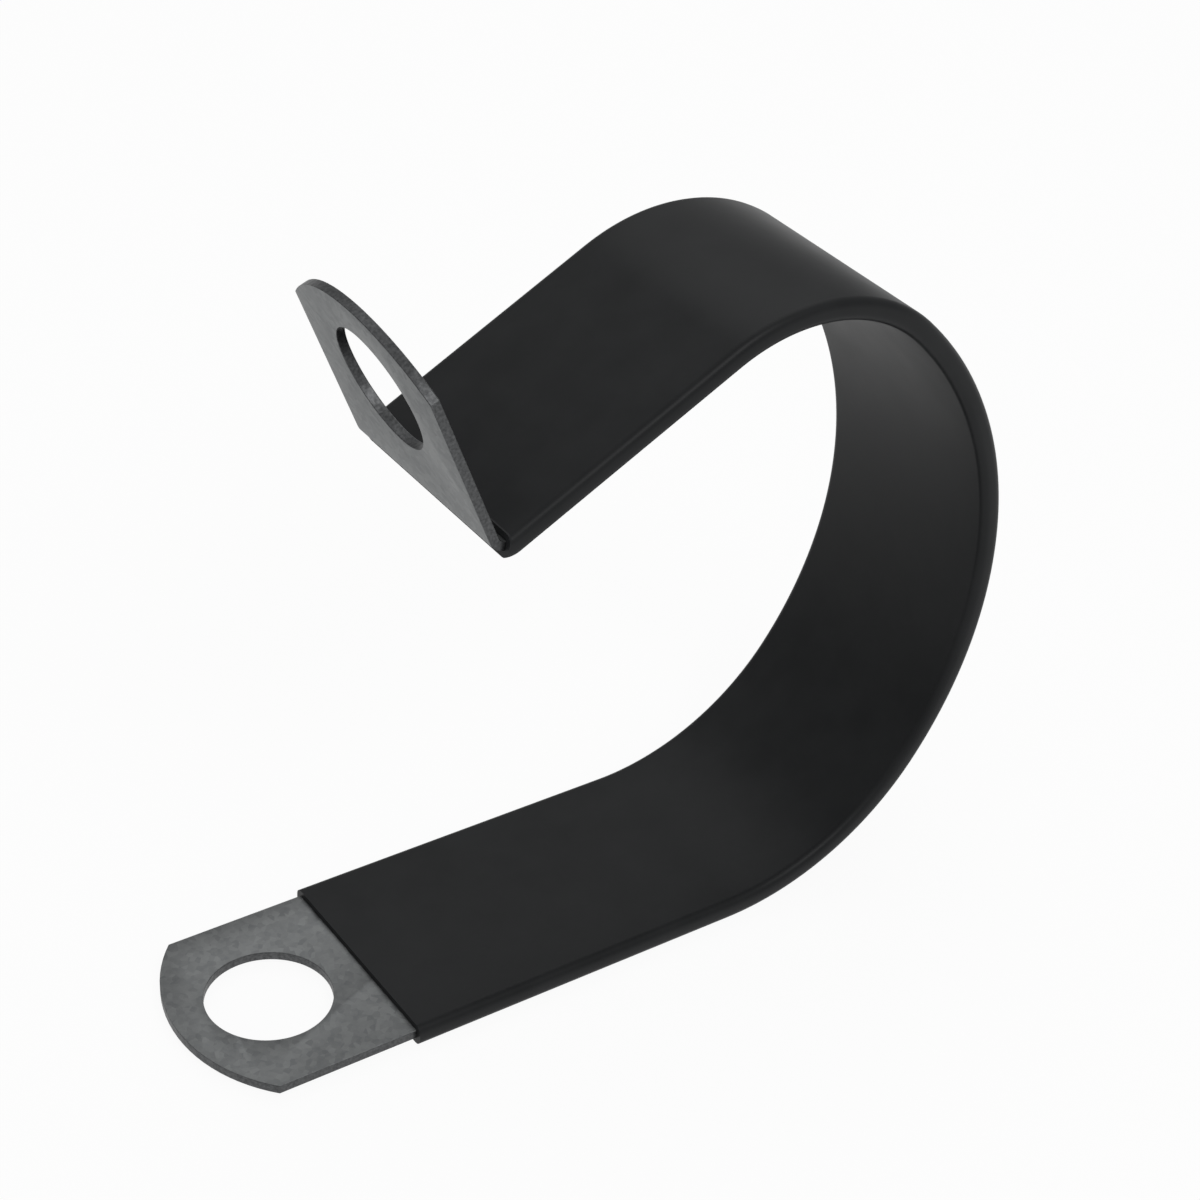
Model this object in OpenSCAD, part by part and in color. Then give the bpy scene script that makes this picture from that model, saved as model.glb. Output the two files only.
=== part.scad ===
// P clip: a flat steel strap bent into an open loop, with a vinyl sleeve over all of it
// but its two end tabs. The strap runs from the tip of its foot, which lies flat, round
// the heel, the back and the crown of the loop, down the neck to a sharp fold, and up
// the upper tab. A bolt through both holes closes the loop on a cable or a pipe.
//
// Frame: the origin is the centre of the foot's hole, on the steel's underside.
// +X runs along the foot towards the loop, +Y across the strap, +Z up.
// Bend radii are to the middle of the strap's thickness.

/* [Strap] */
// Width of the steel strap
strap_w = 19; // [16:0.5:24]
// Thickness of the steel strap
strap_t = 0.8; // [0.5:0.1:1.2]

/* [Loop] */
// Flat length of the foot, from its tip to the heel
foot_l = 46; // [36:1:60]
// Bend radius of the heel, where the foot turns up
heel_r = 22; // [16:0.5:28]
// Turn of the heel in degrees
heel_turn = 54; // [45:1:62]
// Bend radius of the back, the loop's flattest side
back_r = 32; // [26:0.5:38]
// Turn of the back in degrees
back_turn = 82; // [72:1:90]
// Bend radius of the crown, over the top of the loop
crown_r = 15.5; // [12:0.5:20]
// Turn of the crown in degrees
crown_turn = 72; // [64:1:80]
// Straight length of the neck, from the crown to the fold
neck_l = 21; // [16:0.5:26]

/* [Fold and tabs] */
// Inside radius that the sleeve keeps in the crease of the fold
crease_r = 0.25; // [0.1:0.05:1.5]
// Turn of the fold in degrees, back against the turn of the loop
fold_turn = 96; // [80:1:110]
// Length of the upper tab, from the fold to its tip
tab_l = 17.5; // [15:0.5:26]
// Radius of the curved end of both tabs
tip_r = 13.5; // [11:0.5:40]
// Diameter of the fixing hole in both tabs
hole_d = 10.3; // [6:0.1:11.5]
// Distance of each hole's centre from the tip of its tab
hole_set = 8; // [7:0.5:9.5]

/* [Sleeve] */
// Wall of the vinyl sleeve
sleeve_wall = 0.5; // [0.3:0.05:1]
// Radius of the sleeve's outside over the strap's four corners
sleeve_corner_r = 0.5; // [0.2:0.05:0.7]
// Clearance between the sleeve's bore and the strap, all round
sleeve_gap = 0.05; // [0.02:0.01:0.2]
// Bare length of the foot, from its tip to the sleeve
foot_bare = 16; // [14:0.5:22]
// How far the sleeve follows the fold, in degrees
sleeve_wrap = 50; // [20:5:70]

/* [Hidden] */
$fn = 96;

// Every second stretch of a sweep reaches this far into both of its neighbours
joint_lap = 0.05;
// and is this much smaller on each side, so that it ends inside them and all join as one
joint_sink = 0.005;
// How far a cut runs past the faces that it goes through
cut_over = 1;

// The sleeve's flat bore and its outer thickness and width
bore_w = strap_w + 2 * sleeve_gap;
bore_t = strap_t + 2 * sleeve_gap;
sleeve_w = bore_w + 2 * sleeve_wall;
sleeve_t = bore_t + 2 * sleeve_wall;
// Bend radius of the fold, like the others to the middle of the strap
fold_r = crease_r + sleeve_t / 2;

// The strap's middle line is a chain of stretches, each a straight length or a bend.
// A bend's turn is positive towards the inside of the loop.
function straight(length) = [length, 0];
function bend(radius, turn) = [radius, turn];
function is_straight(stretch) = stretch[1] == 0;

loop_run = [bend(heel_r, heel_turn), bend(back_r, back_turn), bend(crown_r, crown_turn), straight(neck_l)];
strap_run = concat([straight(foot_l)], loop_run, [bend(fold_r, -fold_turn), straight(tab_l)]);
sleeve_run = concat([straight(foot_l - foot_bare)], loop_run, [bend(fold_r, -sleeve_wrap)]);

// A pose on the middle line: X, Z and the heading in degrees, 0 along +X and 90 along +Z
strap_start = [-hole_set, strap_t / 2, 0];
sleeve_start = strap_start + [foot_bare, 0, 0];

// The pose at the end of one stretch that starts at the given pose
function past(pose, stretch) =
    let (heading = pose[2])
    is_straight(stretch)
        ? pose + stretch[0] * [cos(heading), sin(heading), 0]
        : let (side = sign(stretch[1]), reach = side * stretch[0], turned = heading + stretch[1])
          [
              pose[0] + reach * (sin(turned) - sin(heading)),
              pose[1] - reach * (cos(turned) - cos(heading)),
              turned
          ];

// The pose after the first count stretches of a run
function pose_after(start, run, count) =
    count == 0 ? start : past(pose_after(start, run, count - 1), run[count - 1]);

// Puts children made along +X, with +Z towards the inside of the loop, at a pose
module at_pose(pose) {
    translate([pose[0], 0, pose[1]])
        rotate([0, -pose[2], 0])
            children();
}

// One stretch of a flat cross-section, whose X is the strap's width and Y its thickness,
// made longer by a lap before its start and after its end
module one_stretch(stretch, before, after) {
    if (is_straight(stretch))
        translate([-before, 0, 0])
            rotate([90, 0, 90])
                linear_extrude(before + stretch[0] + after)
                    children();
    else {
        degrees_per_mm = 180 / PI / stretch[0];
        mirror([0, 0, stretch[1] < 0 ? 1 : 0])
            translate([0, 0, stretch[0]])
                rotate([90, 90 + before * degrees_per_mm, 0])
                    rotate_extrude(angle = abs(stretch[1]) + (before + after) * degrees_per_mm)
                        translate([stretch[0], 0])
                            rotate(90)
                                children();
    }
}

// The cross-section swept along a run. It draws itself smaller by $sunk on each side.
module sweep(start, run) {
    last = len(run) - 1;
    for (i = [0 : last]) {
        lap = i % 2 == 1 ? joint_lap : 0;
        $sunk = i % 2 == 1 ? joint_sink : 0;
        at_pose(pose_after(start, run, i))
            one_stretch(run[i], lap, i < last ? lap : 0)
                children();
    }
}

// What is cut from one end of the strap, with the tip at the origin and the strap running
// along +X: the corners outside the tip's curve, and the fixing hole
module end_cut() {
    linear_extrude(strap_t + 2 * cut_over, center = true) {
        difference() {
            translate([-cut_over, -strap_w])
                square([cut_over + tip_r, 2 * strap_w]);
            translate([tip_r, 0])
                circle(tip_r);
        }
        translate([hole_set, 0])
            circle(d = hole_d);
    }
}

// The sleeve's cross-section: a tube pulled flat on the strap, rounded over its corners
module sleeve_section() {
    outer_w = sleeve_w - 2 * $sunk;
    outer_t = sleeve_t - 2 * $sunk;
    difference() {
        union() {
            square([outer_w - 2 * sleeve_corner_r, outer_t], center = true);
            square([outer_w, outer_t - 2 * sleeve_corner_r], center = true);
            for (x = [-1, 1], y = [-1, 1])
                translate([x * (outer_w / 2 - sleeve_corner_r), y * (outer_t / 2 - sleeve_corner_r)])
                    circle(sleeve_corner_r);
        }
        square([bore_w + 2 * $sunk, bore_t + 2 * $sunk], center = true);
    }
}

module steel_strap() {
    color("#737576")
        difference() {
            sweep(strap_start, strap_run)
                square([strap_w - 2 * $sunk, strap_t - 2 * $sunk], center = true);
            at_pose(strap_start)
                end_cut();
            at_pose(pose_after(strap_start, strap_run, len(strap_run)))
                rotate([0, 0, 180])
                    end_cut();
        }
}

module vinyl_sleeve() {
    color("#222324")
        sweep(sleeve_start, sleeve_run)
            sleeve_section();
}

steel_strap();
vinyl_sleeve();
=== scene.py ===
"""An open P clip: a folded strap of galvanised steel in a black PVC sleeve.

The strap and the sleeve are both swept along the strap's middle line, which is a chain of
straight stretches and bends in the XZ plane. The row frame is in metres, with the origin at
the centre of the foot's hole, +X along the foot towards the loop and +Z up.
"""
import math

import bpy
from mathutils import Matrix, Vector


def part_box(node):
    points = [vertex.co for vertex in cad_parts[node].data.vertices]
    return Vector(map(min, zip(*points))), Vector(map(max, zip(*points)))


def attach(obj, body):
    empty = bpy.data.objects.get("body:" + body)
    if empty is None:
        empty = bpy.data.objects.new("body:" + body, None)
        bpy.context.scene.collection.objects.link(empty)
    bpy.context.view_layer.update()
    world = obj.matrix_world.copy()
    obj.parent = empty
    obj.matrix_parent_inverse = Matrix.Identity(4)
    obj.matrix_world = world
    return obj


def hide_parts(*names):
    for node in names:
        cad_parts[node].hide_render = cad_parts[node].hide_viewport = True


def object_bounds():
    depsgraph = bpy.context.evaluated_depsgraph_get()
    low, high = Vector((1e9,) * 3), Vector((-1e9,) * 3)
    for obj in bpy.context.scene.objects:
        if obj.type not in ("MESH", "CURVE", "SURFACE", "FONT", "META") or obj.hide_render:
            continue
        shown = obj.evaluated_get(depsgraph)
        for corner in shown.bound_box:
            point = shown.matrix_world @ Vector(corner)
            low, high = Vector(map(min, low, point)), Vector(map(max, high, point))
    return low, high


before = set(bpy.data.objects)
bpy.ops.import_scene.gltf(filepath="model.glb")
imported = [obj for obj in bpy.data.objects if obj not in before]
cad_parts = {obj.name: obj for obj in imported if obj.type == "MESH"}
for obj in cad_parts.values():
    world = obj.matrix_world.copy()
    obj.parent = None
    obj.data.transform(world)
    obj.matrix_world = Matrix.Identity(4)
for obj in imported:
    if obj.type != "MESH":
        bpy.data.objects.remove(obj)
cad_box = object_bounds()

MM = 0.001

# The strap, as the part's source has it
STRAP_T = 0.8 * MM
HOLE_SET = 8 * MM
TIP_R = 13.5 * MM
HOLE_R = 5.15 * MM
FOOT_L = 46 * MM
NECK_L = 21 * MM
TAB_L = 17.5 * MM
STRAP_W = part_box("steel_strap")[1].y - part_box("steel_strap")[0].y

# The sleeve
SLEEVE_WALL = 0.5 * MM
SLEEVE_GAP = 0.05 * MM
FOOT_BARE = 16 * MM
SLEEVE_WRAP = 38
SLEEVE_T = STRAP_T + 2 * (SLEEVE_GAP + SLEEVE_WALL)
SLEEVE_W = STRAP_W + 2 * (SLEEVE_GAP + SLEEVE_WALL)
# Radius of the vinyl over the strap's corners
SLEEVE_CORNER = 0.7 * MM

# Bends: radius to the middle of the strap, and turn in degrees, positive into the loop
FOLD_R = 0.25 * MM + SLEEVE_T / 2
LOOP = [(22 * MM, 54), (32 * MM, 82), (15.5 * MM, 72)]
FOLD_TURN = -96

# Largest turn of one facet of a bend, in degrees
FACET_TURN = 1.5
# Facets round a hole or a tip, and round one of the sleeve's corners
CIRCLE_FACETS = 96
CORNER_FACETS = 5
# Faces that meet at less than this angle, in degrees, are shaded as one surface
SMOOTH_ANGLE = 30
# Points nearer than this are merged
WELD = 0.001 * MM
# Rounding of the strap's slit and punched edges, and the angle that makes an edge, in degrees
PUNCH_ROUND = 0.07 * MM
PUNCH_ANGLE = 50

# Share of its own plain white that the floor shows wherever it is seen
FLOOR_GLOW = 0.93
FLOOR_SIZE = 6


def linear(code):
    """A hex colour such as "#6a6c6d" as linear red, green, blue and alpha."""
    parts = [int(code[i : i + 2], 16) / 255 for i in (1, 3, 5)]
    return [p / 12.92 if p <= 0.04045 else ((p + 0.055) / 1.055) ** 2.4 for p in parts] + [1.0]


# ---------------------------------------------------------------- materials


def add(tree, kind, settings=None, **links):
    """Adds a node, sets its properties or input values, and links its inputs by name."""
    node = tree.nodes.new(kind)
    for name, value in (settings or {}).items():
        if hasattr(node, name):
            setattr(node, name, value)
        else:
            node.inputs[name].default_value = value
    for name, source in links.items():
        tree.links.new(source, node.inputs[name.replace("_", " ")])
    return node


def new_material(name):
    """A material with a Principled shader, and the position that its patterns read."""
    material = bpy.data.materials.new(name)
    material.use_nodes = True
    tree = material.node_tree
    place = add(tree, "ShaderNodeTexCoord").outputs["Object"]
    return material, tree, tree.nodes["Principled BSDF"], place


def ramp(tree, source, low, high, start, end):
    """Colour that runs from low to high while the source runs from start to end."""
    node = add(tree, "ShaderNodeValToRGB", Fac=source)
    node.color_ramp.elements[0].position = start
    node.color_ramp.elements[0].color = low
    node.color_ramp.elements[1].position = end
    node.color_ramp.elements[1].color = high
    return node.outputs["Color"]


def noise(tree, place, size, detail):
    """Soft noise whose patches are about the given size across."""
    node = add(tree, "ShaderNodeTexNoise", {"Scale": 1 / size, "Detail": detail}, Vector=place)
    return node.outputs["Fac"]


def rough_range(tree, source, low, high):
    """Roughness that runs from low to high as the source runs from 0 to 1."""
    node = add(tree, "ShaderNodeMapRange", {"To Min": low, "To Max": high}, Value=source)
    return node.outputs["Result"]


def relief(tree, height, strength, depth, **under):
    """A fine unevenness of the given depth, over the relief under it, if any."""
    settings = {"Strength": strength, "Distance": depth}
    return add(tree, "ShaderNodeBump", settings, Height=height, **under).outputs["Normal"]


def galvanised_steel():
    """Hot-dip zinc on mild steel, dulled by its oxide: a soft grey mottle of small crystals
    with a cloudy bloom over them, and no mirror-like shine."""
    material, tree, shader, place = new_material("galvanised_steel")
    crystals = add(tree, "ShaderNodeTexVoronoi", {"Scale": 1 / (0.5 * MM)}, Vector=place)
    bloom = add(
        tree,
        "ShaderNodeTexNoise",
        {"Scale": 1 / (1.0 * MM), "Detail": 6.0, "Roughness": 0.65},
        Vector=place,
    )
    shade = add(
        tree,
        "ShaderNodeMix",
        {"data_type": "FLOAT", "Factor": 0.65},
        A=crystals.outputs["Color"],
        B=bloom.outputs["Fac"],
    ).outputs["Result"]
    zinc = ramp(tree, shade, linear("#6c6e6f"), linear("#828484"), 0.3, 0.7)
    tree.links.new(zinc, shader.inputs["Base Color"])
    rough = rough_range(tree, bloom.outputs["Fac"], 0.42, 0.6)
    tree.links.new(rough, shader.inputs["Roughness"])
    grain = noise(tree, place, 0.12 * MM, 3.0)
    tree.links.new(relief(tree, grain, 0.25, 0.02 * MM), shader.inputs["Normal"])
    shader.inputs["Metallic"].default_value = 1.0
    return material


def sheared_edge_with_painted_shade():
    """The strap's slit and punched edges: uncoated steel that the zinc doesn't cover, scored
    across the thickness by the shear. Their dark grey is partly the steel's own and partly
    painted shade on the strap's walls."""
    material, tree, shader, place = new_material("sheared_steel_edge_and_painted_shade")
    scores = noise(tree, place, 0.25 * MM, 4.0)
    # Dark grey of the edges: partly uncoated steel, partly painted shade on the strap's walls
    uncoated_and_shaded = ramp(tree, scores, linear("#4a4b4c"), linear("#636465"), 0.35, 0.7)
    tree.links.new(uncoated_and_shaded, shader.inputs["Base Color"])
    tree.links.new(relief(tree, scores, 0.2, 0.02 * MM), shader.inputs["Normal"])
    shader.inputs["Metallic"].default_value = 1.0
    shader.inputs["Roughness"].default_value = 0.45
    return material


def black_vinyl():
    """Flexible PVC tube, extruded and pushed on: black, with a satin skin that is smooth to
    the touch and slightly uneven where it lies on the strap."""
    material, tree, shader, place = new_material("black_vinyl")
    patches = noise(tree, place, 4 * MM, 3.0)
    black = ramp(tree, patches, linear("#202122"), linear("#252627"), 0.3, 0.7)
    tree.links.new(black, shader.inputs["Base Color"])
    rough = rough_range(tree, patches, 0.36, 0.46)
    tree.links.new(rough, shader.inputs["Roughness"])
    skin = relief(tree, noise(tree, place, 0.2 * MM, 2.0), 0.12, 0.01 * MM)
    waves = relief(tree, patches, 0.25, 0.05 * MM, Normal=skin)
    tree.links.new(waves, shader.inputs["Normal"])
    shader.inputs["IOR"].default_value = 1.5
    shader.inputs["Specular IOR Level"].default_value = 0.12
    return material


# ---------------------------------------------------------------- modelling


class Pose:
    """A place on the middle line: X, Z and the heading, 0 along +X and 90 degrees along +Z."""

    def __init__(self, x, z, heading=0.0):
        self.x, self.z, self.heading = x, z, heading

    @property
    def along(self):
        return Vector((math.cos(self.heading), 0, math.sin(self.heading)))

    @property
    def inward(self):
        return Vector((-math.sin(self.heading), 0, math.cos(self.heading)))

    @property
    def point(self):
        return Vector((self.x, 0, self.z))

    def moved(self, length):
        end = self.point + length * self.along
        return Pose(end.x, end.z, self.heading)

    def bent(self, radius, degrees):
        side = math.copysign(radius, degrees)
        centre = self.point + side * self.inward
        turned = Pose(0, 0, self.heading + math.radians(degrees))
        end = centre - side * turned.inward
        return Pose(end.x, end.z, turned.heading)

    def matrix(self):
        """Puts what is drawn with X along the strap and Z inwards at this pose."""
        axes = Matrix((self.along, (0, 1, 0), self.inward)).transposed()
        return Matrix.Translation(self.point) @ axes.to_4x4()


def deselect():
    for item in list(bpy.context.selected_objects):
        item.select_set(False)


def start_section(name, pose, width, thickness):
    """A flat rectangle across the strap at a pose, as a new object in edit mode."""
    deselect()
    bpy.ops.mesh.primitive_plane_add(size=1, location=pose.point, rotation=(0, math.pi / 2, 0))
    piece = bpy.context.object
    piece.name = name
    piece.data.name = name
    piece.scale = (thickness, width, 1)
    bpy.ops.object.transform_apply(location=True, rotation=True, scale=True)
    bpy.ops.object.mode_set(mode="EDIT")
    bpy.ops.mesh.select_all(action="SELECT")
    return piece


def go_straight(pose, length):
    """Extrudes the selected section along its heading."""
    bpy.ops.mesh.extrude_region_move(TRANSFORM_OT_translate={"value": length * pose.along})
    return pose.moved(length)


def go_round(pose, radius, degrees):
    """Spins the selected section round the centre of its bend."""
    side = math.copysign(radius, degrees)
    centre = pose.point + side * pose.inward
    bpy.ops.mesh.spin(
        steps=math.ceil(abs(degrees) / FACET_TURN),
        angle=math.radians(degrees),
        center=centre,
        axis=(0, 1, 0),
    )
    return pose.bent(radius, degrees)


def finish_mesh(piece):
    """Leaves edit mode with doubles merged, faces outwards and smooth shading over bends."""
    bpy.ops.mesh.select_all(action="SELECT")
    bpy.ops.mesh.remove_doubles(threshold=WELD)
    bpy.ops.mesh.normals_make_consistent(inside=False)
    bpy.ops.object.mode_set(mode="OBJECT")
    bpy.ops.object.shade_smooth_by_angle(angle=math.radians(SMOOTH_ANGLE))


def apply_modifier(piece, kind, **settings):
    modifier = piece.modifiers.new(kind.title(), kind)
    for name, value in settings.items():
        setattr(modifier, name, value)
    bpy.context.view_layer.objects.active = piece
    bpy.ops.object.modifier_apply(modifier=modifier.name)


def cut(piece, cutter):
    """Takes the cutter's shape out of the piece and deletes the cutter."""
    apply_modifier(piece, "BOOLEAN", operation="DIFFERENCE", solver="EXACT", object=cutter)
    bpy.data.objects.remove(cutter)


def cylinder_at(pose, radius, distance):
    """A cylinder across the strap's faces, centred that far along from the pose."""
    deselect()
    bpy.ops.mesh.primitive_cylinder_add(vertices=CIRCLE_FACETS, radius=radius, depth=6 * STRAP_T)
    rod = bpy.context.object
    rod.matrix_world = pose.matrix() @ Matrix.Translation((distance, 0, 0))
    bpy.ops.object.transform_apply(location=True, rotation=True, scale=True)
    return rod


def block_at(pose, length, width):
    """A block across the strap's faces, with one third of its length behind the pose."""
    deselect()
    bpy.ops.mesh.primitive_cube_add(size=1)
    block = bpy.context.object
    forward = length / 2 - length / 3
    size = Matrix.Diagonal((length, width, 4 * STRAP_T, 1))
    block.matrix_world = pose.matrix() @ Matrix.Translation((forward, 0, 0)) @ size
    bpy.ops.object.transform_apply(location=True, rotation=True, scale=True)
    return block


def punch_end(strap, pose):
    """Rounds the strap's tip at the pose and punches its hole."""
    corners = block_at(pose, TIP_R, 2 * STRAP_W)
    cut(corners, cylinder_at(pose, TIP_R, TIP_R))
    cut(strap, corners)
    cut(strap, cylinder_at(pose, HOLE_R, HOLE_SET))


def strap_tips():
    """The poses at the foot's tip and at the upper tab's tip."""
    start = Pose(-HOLE_SET, STRAP_T / 2)
    pose = start.moved(FOOT_L)
    for radius, degrees in LOOP:
        pose = pose.bent(radius, degrees)
    fold = pose.moved(NECK_L)
    return start, fold.bent(FOLD_R, FOLD_TURN).moved(TAB_L)


def make_strap(start, tip):
    """The steel strip, swept from tip to tip, then punched and its edges broken."""
    strap = start_section("strap", start, STRAP_W, STRAP_T)
    pose = go_straight(start, FOOT_L)
    for radius, degrees in LOOP:
        pose = go_round(pose, radius, degrees)
    pose = go_straight(pose, NECK_L)
    pose = go_round(pose, FOLD_R, FOLD_TURN)
    go_straight(pose, TAB_L)
    finish_mesh(strap)
    backwards = Pose(tip.x, tip.z, tip.heading + math.pi)
    punch_end(strap, start)
    punch_end(strap, backwards)
    paint_edges(strap, start, backwards)
    apply_modifier(
        strap,
        "BEVEL",
        width=PUNCH_ROUND,
        segments=2,
        limit_method="ANGLE",
        angle_limit=math.radians(PUNCH_ANGLE),
        use_clamp_overlap=False,
    )
    bpy.ops.object.shade_smooth_by_angle(angle=math.radians(SMOOTH_ANGLE))
    return strap


def paint_edges(strap, *tips):
    """Gives the slit sides, the tips and the holes' walls the edge material, darkened as painted
    shade.
    """
    strap.data.materials.append(galvanised_steel())
    strap.data.materials.append(sheared_edge_with_painted_shade())
    tab_reach = 1.5 * TIP_R
    slant = 0.5
    for face in strap.data.polygons:
        # Side walls, tip ends and hole walls take the edge material and its painted shade
        sheared_and_shaded = abs(face.normal.y) > slant
        for tip in tips:
            on_tab = (face.center - tip.point).length < tab_reach
            across = abs(face.normal.dot(tip.inward)) < slant
            sheared_and_shaded = sheared_and_shaded or (on_tab and across)
        face.material_index = 1 if sheared_and_shaded else 0


def make_sleeve(start):
    """The vinyl tube: a ring round the strap's section, swept from the foot to the fold."""
    start = start.moved(FOOT_BARE)
    sleeve = start_section("sleeve", start, SLEEVE_W, SLEEVE_T)
    bpy.ops.mesh.bevel(offset=SLEEVE_CORNER, segments=CORNER_FACETS, affect="VERTICES")
    bpy.ops.mesh.inset(thickness=SLEEVE_WALL)
    bpy.ops.mesh.delete(type="ONLY_FACE")
    bpy.ops.mesh.select_all(action="SELECT")
    pose = go_straight(start, FOOT_L - FOOT_BARE)
    for radius, degrees in LOOP:
        pose = go_round(pose, radius, degrees)
    pose = go_straight(pose, NECK_L)
    go_round(pose, FOLD_R, math.copysign(SLEEVE_WRAP, FOLD_TURN))
    finish_mesh(sleeve)
    sleeve.data.materials.append(black_vinyl())
    return sleeve


# ---------------------------------------------------------------- stage


def pale_floor(height):
    """A broad white floor. Seen straight on or in a reflection it is mostly its own plain
    white, so that it stays pale, and the rest keeps the clip's soft shadow."""
    deselect()
    bpy.ops.mesh.primitive_plane_add(size=FLOOR_SIZE, location=(0, 0, height))
    floor = bpy.context.object
    floor.name = "floor"
    material = bpy.data.materials.new("white_floor")
    material.use_nodes = True
    tree = material.node_tree
    tree.nodes.clear()
    seen = add(tree, "ShaderNodeLightPath").outputs
    any_way = seen["Is Camera Ray"]
    for ray in ("Is Glossy Ray", "Is Transmission Ray"):
        either = add(tree, "ShaderNodeMath", {"operation": "MAXIMUM"})
        tree.links.new(any_way, either.inputs[0])
        tree.links.new(seen[ray], either.inputs[1])
        any_way = either.outputs[0]
    share = add(tree, "ShaderNodeMath", {"operation": "MULTIPLY"})
    tree.links.new(any_way, share.inputs[0])
    share.inputs[1].default_value = FLOOR_GLOW
    paint = add(tree, "ShaderNodeBsdfDiffuse", {"Color": linear("#f7f7f7")})
    glow = add(tree, "ShaderNodeEmission", {"Color": linear("#ffffff"), "Strength": 1.0})
    mix = add(tree, "ShaderNodeMixShader", Fac=share.outputs[0])
    tree.links.new(paint.outputs[0], mix.inputs[1])
    tree.links.new(glow.outputs[0], mix.inputs[2])
    add(tree, "ShaderNodeOutputMaterial", Surface=mix.outputs[0])
    floor.data.materials.append(material)


def soft_box(name, offset, target, size, watts):
    """A square area lamp that stands off from the target and faces it."""
    lamp = bpy.data.lights.new(name, "AREA")
    lamp.size = size
    lamp.energy = watts
    holder = bpy.data.objects.new(name, lamp)
    bpy.context.scene.collection.objects.link(holder)
    holder.location = target + Vector(offset)
    holder.rotation_euler = (-Vector(offset)).to_track_quat("-Z", "Y").to_euler()


def studio_light(target):
    """An even pale surround, a key lamp in front and above, and a broad one overhead."""
    world = bpy.data.worlds.new("surround")
    world.use_nodes = True
    background = world.node_tree.nodes["Background"]
    background.inputs["Color"].default_value = linear("#ffffff")
    background.inputs["Strength"].default_value = 0.42
    bpy.context.scene.world = world
    soft_box("key_lamp", (-0.02, -0.42, 0.43), target, size=0.25, watts=1.05)
    soft_box("top_lamp", (0.15, 0.25, 0.55), target, size=0.5, watts=0.9)


def camera_at(target, azimuth, elevation, roll, distance, lens):
    """A camera that looks at the target, with azimuth 0 along +Y and its head rolled."""
    back = Vector((
        math.sin(azimuth) * math.cos(elevation),
        -math.cos(azimuth) * math.cos(elevation),
        math.sin(elevation),
    ))
    level = Vector((math.cos(azimuth), math.sin(azimuth), 0))
    upright = back.cross(level)
    right = math.cos(roll) * level + math.sin(roll) * upright
    up = math.cos(roll) * upright - math.sin(roll) * level
    data = bpy.data.cameras.new("camera")
    data.lens = lens
    data.sensor_width = 36
    data.clip_start = 0.005
    camera = bpy.data.objects.new("camera", data)
    bpy.context.scene.collection.objects.link(camera)
    turn = Matrix((right, up, back)).transposed().to_4x4()
    camera.matrix_world = Matrix.Translation(target + distance * back) @ turn
    bpy.context.scene.camera = camera


# ---------------------------------------------------------------- scene

START, TIP = strap_tips()
VIEW_TARGET = Vector((30.07 * MM, 0, 28.62 * MM))

camera_at(
    VIEW_TARGET,
    azimuth=math.radians(-35.48),
    elevation=math.radians(33.784),
    roll=math.radians(3.255),
    distance=216.89 * MM,
    lens=82.306,
)

strap = make_strap(START, TIP)
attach(strap, "root")
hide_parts("steel_strap")

sleeve = make_sleeve(START)
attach(sleeve, "root")
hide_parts("vinyl_sleeve")

studio_light(VIEW_TARGET)
pale_floor(cad_box[0][2])

bpy.context.scene.view_settings.view_transform = "Standard"
